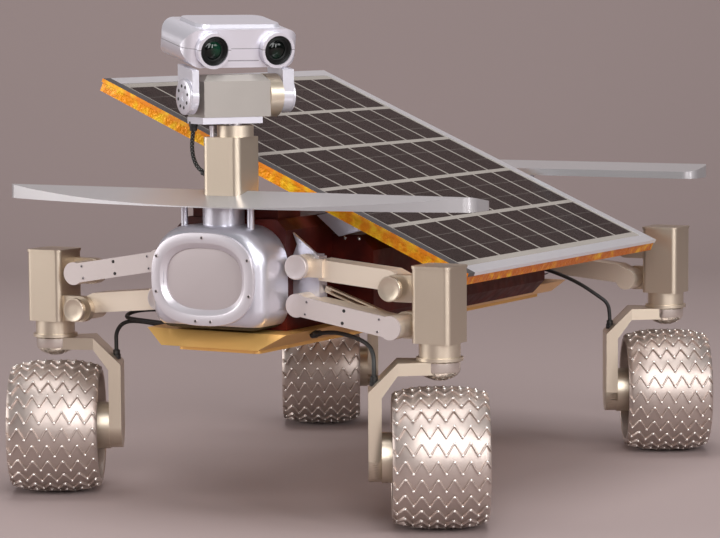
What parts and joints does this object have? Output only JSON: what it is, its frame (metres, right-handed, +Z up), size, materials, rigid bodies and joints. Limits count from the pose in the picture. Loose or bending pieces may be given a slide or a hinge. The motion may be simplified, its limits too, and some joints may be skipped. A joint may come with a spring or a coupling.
{
  "type": "small four-wheeled planetary rover",
  "caption": "Small planetary rover on steered cleated wheels, with a tilting solar panel, scooped end decks and a pan and tilt stereo camera head on a mast.",
  "frame": {"origin": "on the ground, midway between the four wheels", "axes": "+Z up, -Y the end with the camera mast, +X to the right of someone who faces that end"},
  "size_m": [0.5612, 0.6574, 0.4661],
  "materials": {
    "silver_paint": "pale lavender-silver metallic, satin",
    "champagne_metal": "warm champagne metallic, satin",
    "pale_cover": "pale pinkish grey, satin",
    "titanium_tread": "brownish grey metal with bright cleat tips",
    "deck_metal": "smooth glossy silver",
    "gold_anodise": "gold anodised, satin",
    "dark_foil": "dark maroon film, glossy",
    "amber_foil": "crinkled amber film, glossy",
    "panel_silver": "plain silver edge",
    "solar_cells": "dark brown cells with pale lines",
    "lens_glass": "coated lens, green sheen",
    "black_cable": "black cable jacket"
  },
  "bodies": {
    "root": {"belly_plate": "gold_anodise", "belly_tray": "gold_anodise", "cable_front_left": "black_cable", "cable_front_left_loop": "black_cable", "cable_front_right": "black_cable", "cable_head": "black_cable", "cable_rear_left": "black_cable", "cable_rear_right": "black_cable", "deck_posts": "silver_paint", "decks": "deck_metal", "end_shells": "silver_paint", "equipment_box": "dark_foil", "hinge_bearings": "champagne_metal", "link_brackets": "silver_paint", "link_covers": "pale_cover", "link_struts": "champagne_metal", "links": "champagne_metal", "mast": "champagne_metal", "port_panels": "pale_cover", "port_rings": "pale_cover", "steering_boxes": "champagne_metal"},
    "steering_front_right": {"fork_front_right": "champagne_metal", "drive_front_right": "champagne_metal"},
    "wheel_front_right": {"wheel_front_right": "titanium_tread"},
    "steering_front_left": {"fork_front_left": "champagne_metal", "drive_front_left": "champagne_metal"},
    "wheel_front_left": {"wheel_front_left": "titanium_tread"},
    "steering_rear_right": {"fork_rear_right": "champagne_metal", "drive_rear_right": "champagne_metal"},
    "wheel_rear_right": {"wheel_rear_right": "titanium_tread"},
    "steering_rear_left": {"fork_rear_left": "champagne_metal", "drive_rear_left": "champagne_metal"},
    "wheel_rear_left": {"wheel_rear_left": "titanium_tread"},
    "pan": {"pan_block": "champagne_metal", "tilt_motor": "champagne_metal"},
    "head": {"head_shell_lower": "silver_paint", "head_shell_upper": "silver_paint", "head_lid": "silver_paint", "lens_rings": "silver_paint", "lenses": "lens_glass", "ears": "silver_paint"},
    "panel": {"panel_tray": "amber_foil", "panel_hangers": "silver_paint", "panel_rail": "silver_paint", "panel_frame": "panel_silver", "panel_cells": "solar_cells"}
  },
  "joints": [
    {"name": "steer_front_right", "type": "hinge", "parent": "root", "child": "steering_front_right", "pos_m": [0.2135, -0.2565, 0.15], "axis": [0, 0, 1], "range_deg": [-120, 60]},
    {"name": "spin_front_right", "type": "hinge", "parent": "steering_front_right", "child": "wheel_front_right", "pos_m": [0.2135, -0.2565, 0.065], "axis": [0.866, 0.5, 0], "continuous": true},
    {"name": "steer_front_left", "type": "hinge", "parent": "root", "child": "steering_front_left", "pos_m": [-0.2135, -0.2565, 0.15], "axis": [0, 0, 1], "range_deg": [-120, 60]},
    {"name": "spin_front_left", "type": "hinge", "parent": "steering_front_left", "child": "wheel_front_left", "pos_m": [-0.2135, -0.2565, 0.065], "axis": [0.866, 0.5, 0], "continuous": true},
    {"name": "steer_rear_right", "type": "hinge", "parent": "root", "child": "steering_rear_right", "pos_m": [0.2135, 0.2565, 0.15], "axis": [0, 0, 1], "range_deg": [-120, 60]},
    {"name": "spin_rear_right", "type": "hinge", "parent": "steering_rear_right", "child": "wheel_rear_right", "pos_m": [0.2135, 0.2565, 0.065], "axis": [0.866, 0.5, 0], "continuous": true},
    {"name": "steer_rear_left", "type": "hinge", "parent": "root", "child": "steering_rear_left", "pos_m": [-0.2135, 0.2565, 0.15], "axis": [0, 0, 1], "range_deg": [-120, 60]},
    {"name": "spin_rear_left", "type": "hinge", "parent": "steering_rear_left", "child": "wheel_rear_left", "pos_m": [-0.2135, 0.2565, 0.065], "axis": [0.866, 0.5, 0], "continuous": true},
    {"name": "head_pan", "type": "hinge", "parent": "root", "child": "pan", "pos_m": [0.005, -0.268, 0.367], "axis": [0, 0, 1], "range_deg": [-148, 32]},
    {"name": "head_tilt", "type": "hinge", "parent": "pan", "child": "head", "pos_m": [0.00161, -0.26588, 0.391], "axis": [0.5299, 0.848, 0], "range_deg": [-40, 30]},
    {"name": "panel_tilt", "type": "hinge", "parent": "root", "child": "panel", "pos_m": [0, 0, 0.273], "axis": [0, 1, 0], "range_deg": [-47.2, 0]}
  ]
}
